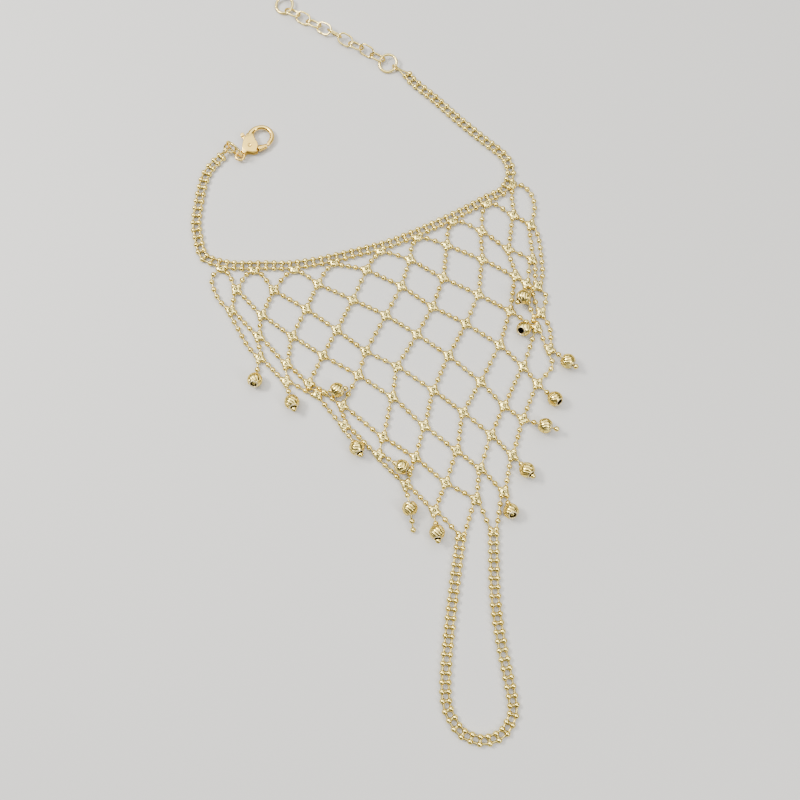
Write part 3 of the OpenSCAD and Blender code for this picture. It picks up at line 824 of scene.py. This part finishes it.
# middle of each of the two: reach and turn from the one before it, height
claspRingAt = stepFrom(clasp["at"], 1.48, 140, 2.45)
bandRingAt = stepFrom(claspRingAt, 1.75, 140, 0.98)
rings = [  # piece, node, middle, tilt, turn, radius, wire, seam
    ("claspRingWire", "clasp_ring", claspRingAt, 90, 140, 2.2, 0.5, 20),
    ("bandRingWire", "band_ring", bandRingAt, 20, 140, 1.3, 0.5, 30),
    ("extenderRingWire", "extender_ring", extenderRing["at"], -16, 148, extenderRing["radius"],
     0.6, 52),
    ("endRingWire", "end_ring", (-23.95, 84.54, 0.79), -12, 133.8, 2.1, 0.6, 12)]
for name, nodeName, at, tilt, turn, radius, wire, seam in rings:
    place = Euler((math.radians(tilt), 0, math.radians(turn))).to_matrix()
    path = []
    for k in range(ringSteps):
        t = fullTurn * k / ringSteps
        path.append(Vector(at) + place @ Vector((math.cos(t), math.sin(t), 0)) * radius)
    wireLoop(name, nodeName, path, wire, place @ Vector((0, 0, 1)), seam)

link = {"from": (-0.8, 69.7), "to": (-21.8, 82.3), "long": 4.15, "wide": 2.9, "wire": 0.45,
        "bendSteps": 18, "seams": (42, 20)}
linkLies = [  # roll, height of the middle
    (28, 0.9), (-52, 1.25), (28, 0.95), (-28, 1.15), (68, 1.45), (-28, 1.15), (28, 0.9),
    (-28, 0.9), (28, 0.9)]


def linkOutline():
    bend = (link["wide"] - link["wire"]) / 2
    straight = (link["long"] - link["wire"]) / 2 - bend
    outline = []
    for side in (1, -1):
        for k in range(link["bendSteps"] + 1):
            a = math.pi * (k / link["bendSteps"] - 0.5)
            outline.append(Vector((side * (straight + bend * math.cos(a)),
                                   side * bend * math.sin(a), 0)))
        for f in (0.25, 0.5, 0.75):
            outline.append(Vector((side * straight * (1 - 2 * f), side * bend, 0)))
    return outline


last = len(linkLies) - 1
linkFrom, linkTo = Vector(link["from"]), Vector(link["to"])
middles = [flat(linkFrom.lerp(linkTo, k / last), lie[1]) for k, lie in enumerate(linkLies)]
for k, (roll, _) in enumerate(linkLies):
    way = middles[min(k + 1, last)] - middles[max(k - 1, 0)]
    rise = math.atan2(way.z, way.xy.length) if 0 < k < last else 0
    place = (Euler((0, -rise, math.atan2(way.y, way.x))).to_matrix()
             @ Euler((math.radians(roll), 0, 0)).to_matrix())
    path = [middles[k] + place @ q for q in linkOutline()]
    wireLoop(f"linkWire{k + 1:02d}", f"link_{k + 1:02d}", path, link["wire"],
             place @ Vector((0, 0, 1)), link["seams"][k % 2])
print("rings and links made:", len(rings) + len(linkLies))


# surface, light and camera, sizes in metres

surface = {"size": 3.0, "under": 0.00002, "deep": (0.55, 0.545, 0.53, 1),
           "light": (0.59, 0.585, 0.57, 1), "rough": 0.6}
backdrop = {"colour": (0.62, 0.62, 0.62, 1), "strength": 0.22}
lights = [  # name, place, width and height, power, colour
    ("tentLight", (0, 0.20, 0.62), (1.1, 1.0), 10.6, (1, 0.99, 0.97)),
    ("keyLight", (-0.30, 0.10, 0.34), (0.16, 0.10), 2.6, (1, 0.98, 0.94)),
    ("fillLight", (0.30, -0.20, 0.30), (0.08, 0.20), 1.1, (1, 0.98, 0.94))]
lightsAimAt = (0, -0.015, 0)
camera = {"at": (4.9, -62.03, 186.13), "tilt": 14.0, "lens": 39.15, "sensor": 36, "clip": 0.005}

bpy.ops.mesh.primitive_plane_add(size=surface["size"], location=(0, 0, -surface["under"]))
floor = bpy.context.object
floor.name = "floor"
material, tree, shader = nodeMaterial("paleFloor")
tone = ramp(tree, noiseOf(tree, 3), (0.3, surface["deep"]), (0.7, surface["light"]))
tree.links.new(tone, shader.inputs["Base Color"])
shader.inputs["Roughness"].default_value = surface["rough"]
floor.data.materials.append(material)

for name, at, size, power, colour in lights:
    lamp = bpy.data.lights.new(name, "AREA")
    lamp.shape = "RECTANGLE"
    lamp.size, lamp.size_y = size
    lamp.energy = power
    lamp.color = colour
    holder = bpy.data.objects.new(name, lamp)
    holder.location = at
    aim = Vector(lightsAimAt) - Vector(at)
    holder.rotation_euler = aim.to_track_quat("-Z", "Y").to_euler()
    bpy.context.scene.collection.objects.link(holder)
world = bpy.data.worlds.new("studio")
world.use_nodes = True
world.node_tree.nodes["Background"].inputs["Color"].default_value = backdrop["colour"]
world.node_tree.nodes["Background"].inputs["Strength"].default_value = backdrop["strength"]
bpy.context.scene.world = world

viewer = bpy.data.cameras.new("camera")
viewer.lens = camera["lens"]
viewer.sensor_width = camera["sensor"]
viewer.clip_start = camera["clip"]
holder = bpy.data.objects.new("camera", viewer)
holder.location = Vector(camera["at"]) * mm
holder.rotation_euler = (math.radians(camera["tilt"]), 0, 0)
bpy.context.scene.collection.objects.link(holder)
bpy.context.scene.camera = holder
print("light and camera set")
